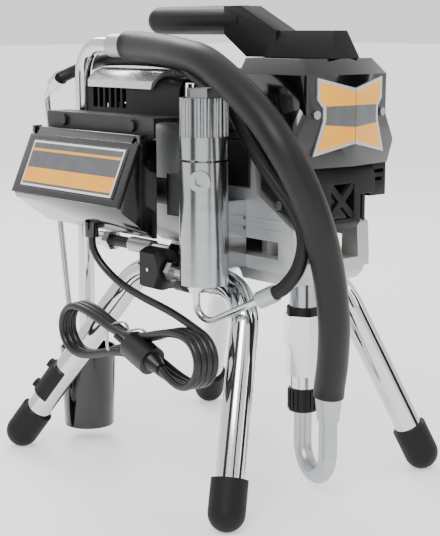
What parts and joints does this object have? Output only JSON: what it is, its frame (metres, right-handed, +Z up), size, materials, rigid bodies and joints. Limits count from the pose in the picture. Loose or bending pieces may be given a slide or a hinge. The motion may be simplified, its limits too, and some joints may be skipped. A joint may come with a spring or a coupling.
{
  "type": "airless paint sprayer",
  "caption": "Piston paint sprayer on a chrome tube frame with splayed legs, with its suction hose, manifold, control box and tied mains cord.",
  "frame": {"origin": "middle of the machine's outline on the floor", "axes": "+Z up, -Y the badge end, +Y the motor end, -X the manifold and control box side"},
  "size_m": [0.2836, 0.4073, 0.43],
  "materials": {
    "chrome": "polished chrome plate on steel tube",
    "rubber": "matte moulded rubber",
    "hose": "satin black hose rubber",
    "black_plastic": "fine textured moulding",
    "gloss_black": "glossy black moulding",
    "cast_aluminium": "fine cast, bead blasted",
    "satin_steel": "turned and brushed",
    "ferrule": "satin, pressed on",
    "gear_steel": "machined",
    "dark_steel": "black coated sheet",
    "brass": "turned",
    "seal": "smooth white seal",
    "mesh": "fine woven mesh",
    "copper": "lacquered winding",
    "badge": "printed plate with a silver edge",
    "rocker": "glossy red switch",
    "silver_band": "silver lacquer",
    "cord": "satin cord sheath"
  },
  "bodies": {
    "machine": {"left_leg_tube": "chrome", "right_leg_tube": "chrome", "rubber_feet": "rubber", "mount_plate": "dark_steel", "tube_saddles": "dark_steel", "frame_bolts": "satin_steel", "leg_clip": "black_plastic", "gearbox_housing": "cast_aluminium", "motor_flange": "cast_aluminium", "motor_body": "dark_steel", "pump_cylinder": "satin_steel", "packing_nut": "brass", "jam_ring": "black_plastic", "foot_valve": "chrome", "swivel_nut": "black_plastic", "suction_elbow": "ferrule", "crimp_ferrules": "ferrule", "suction_hose": "hose", "suction_tube": "chrome", "inlet_strainer": "mesh", "manifold_body": "satin_steel", "filter_element": "mesh", "port_plug": "satin_steel", "pressure_sensor": "black_plastic", "prime_valve": "satin_steel", "return_pipe": "chrome", "return_hose": "hose", "return_tube": "chrome", "outlet_whip": "hose", "outlet_fitting": "chrome", "gear_cover": "black_plastic", "motor_shroud": "black_plastic", "roof_band": "silver_band", "front_cover": "gloss_black", "badge_plate": "badge", "pump_guard": "black_plastic", "vent_block": "black_plastic", "handle": "black_plastic", "cover_screws": "satin_steel", "control_bracket": "dark_steel", "control_case": "gloss_black", "mains_cord": "cord", "cord_hank": "cord", "mains_plug": "cord"},
    "control_lid": {"control_lid": "gloss_black"},
    "pressure_dial": {"pressure_dial": "black_plastic"},
    "power_rocker": {"power_rocker": "rocker"},
    "prime_knob": {"prime_knob": "black_plastic", "knob_pin": "chrome"},
    "filter_cap": {"cap_collar": "satin_steel", "filter_cap": "satin_steel"},
    "rotor": {"rotor": "copper", "motor_fan": "black_plastic"},
    "intermediate_gear": {"intermediate_gear": "gear_steel"},
    "crank_gear": {"crank_gear": "gear_steel"},
    "piston": {"yoke": "gear_steel", "piston_rod": "chrome", "piston_seal": "seal"},
    "inlet_ball": {"inlet_ball": "chrome"},
    "drip_cup": {"drip_cup": "gloss_black"}
  },
  "joints": [
    {"name": "motor_spin", "type": "hinge", "parent": "machine", "child": "rotor", "pos_m": [0.0028, 0.0102, 0.29], "axis": [0, 1, 0], "continuous": true},
    {"name": "intermediate_spin", "type": "hinge", "parent": "machine", "child": "intermediate_gear", "pos_m": [0.02595, 0.0102, 0.2807], "axis": [0, 1, 0], "continuous": true},
    {"name": "crank_spin", "type": "hinge", "parent": "machine", "child": "crank_gear", "pos_m": [0.0028, 0.0102, 0.256], "axis": [0, 1, 0], "continuous": true},
    {"name": "piston_stroke", "type": "slide", "parent": "machine", "child": "piston", "axis": [0, 0, 1], "range_m": [-0.006, 0.006]},
    {"name": "inlet_ball_lift", "type": "slide", "parent": "machine", "child": "inlet_ball", "axis": [0, 0, 1], "range_m": [0, 0.0025]},
    {"name": "lid_hinge", "type": "hinge", "parent": "machine", "child": "control_lid", "pos_m": [-0.1127, 0.0557, 0.3175], "axis": [0, 1, 0], "range_deg": [0, 95]},
    {"name": "pressure_turn", "type": "hinge", "parent": "machine", "child": "pressure_dial", "pos_m": [-0.12945, 0.0257, 0.27769], "axis": [-0.9135, 0, 0.4067], "range_deg": [0, 270]},
    {"name": "power_rock", "type": "hinge", "parent": "machine", "child": "power_rocker", "pos_m": [-0.11524, 0.0927, 0.28012], "axis": [0.4067, 0, 0.9135], "range_deg": [-16, 0]},
    {"name": "prime_turn", "type": "hinge", "parent": "machine", "child": "prime_knob", "pos_m": [-0.0982, -0.0278, 0.203], "axis": [0, 1, 0], "range_deg": [0, 90]},
    {"name": "cap_turn", "type": "hinge", "parent": "machine", "child": "filter_cap", "pos_m": [-0.0872, -0.0768, 0.33], "axis": [0, 0, 1], "range_deg": [0, 360]},
    {"name": "cup_drop", "type": "slide", "parent": "machine", "child": "drip_cup", "axis": [0, 0, 1], "range_m": [-0.012, 0]}
  ],
  "couplings": [
    {"joint": "intermediate_spin", "follows": "motor_spin", "ratio": -0.25},
    {"joint": "crank_spin", "follows": "motor_spin", "ratio": 0.053571}
  ]
}
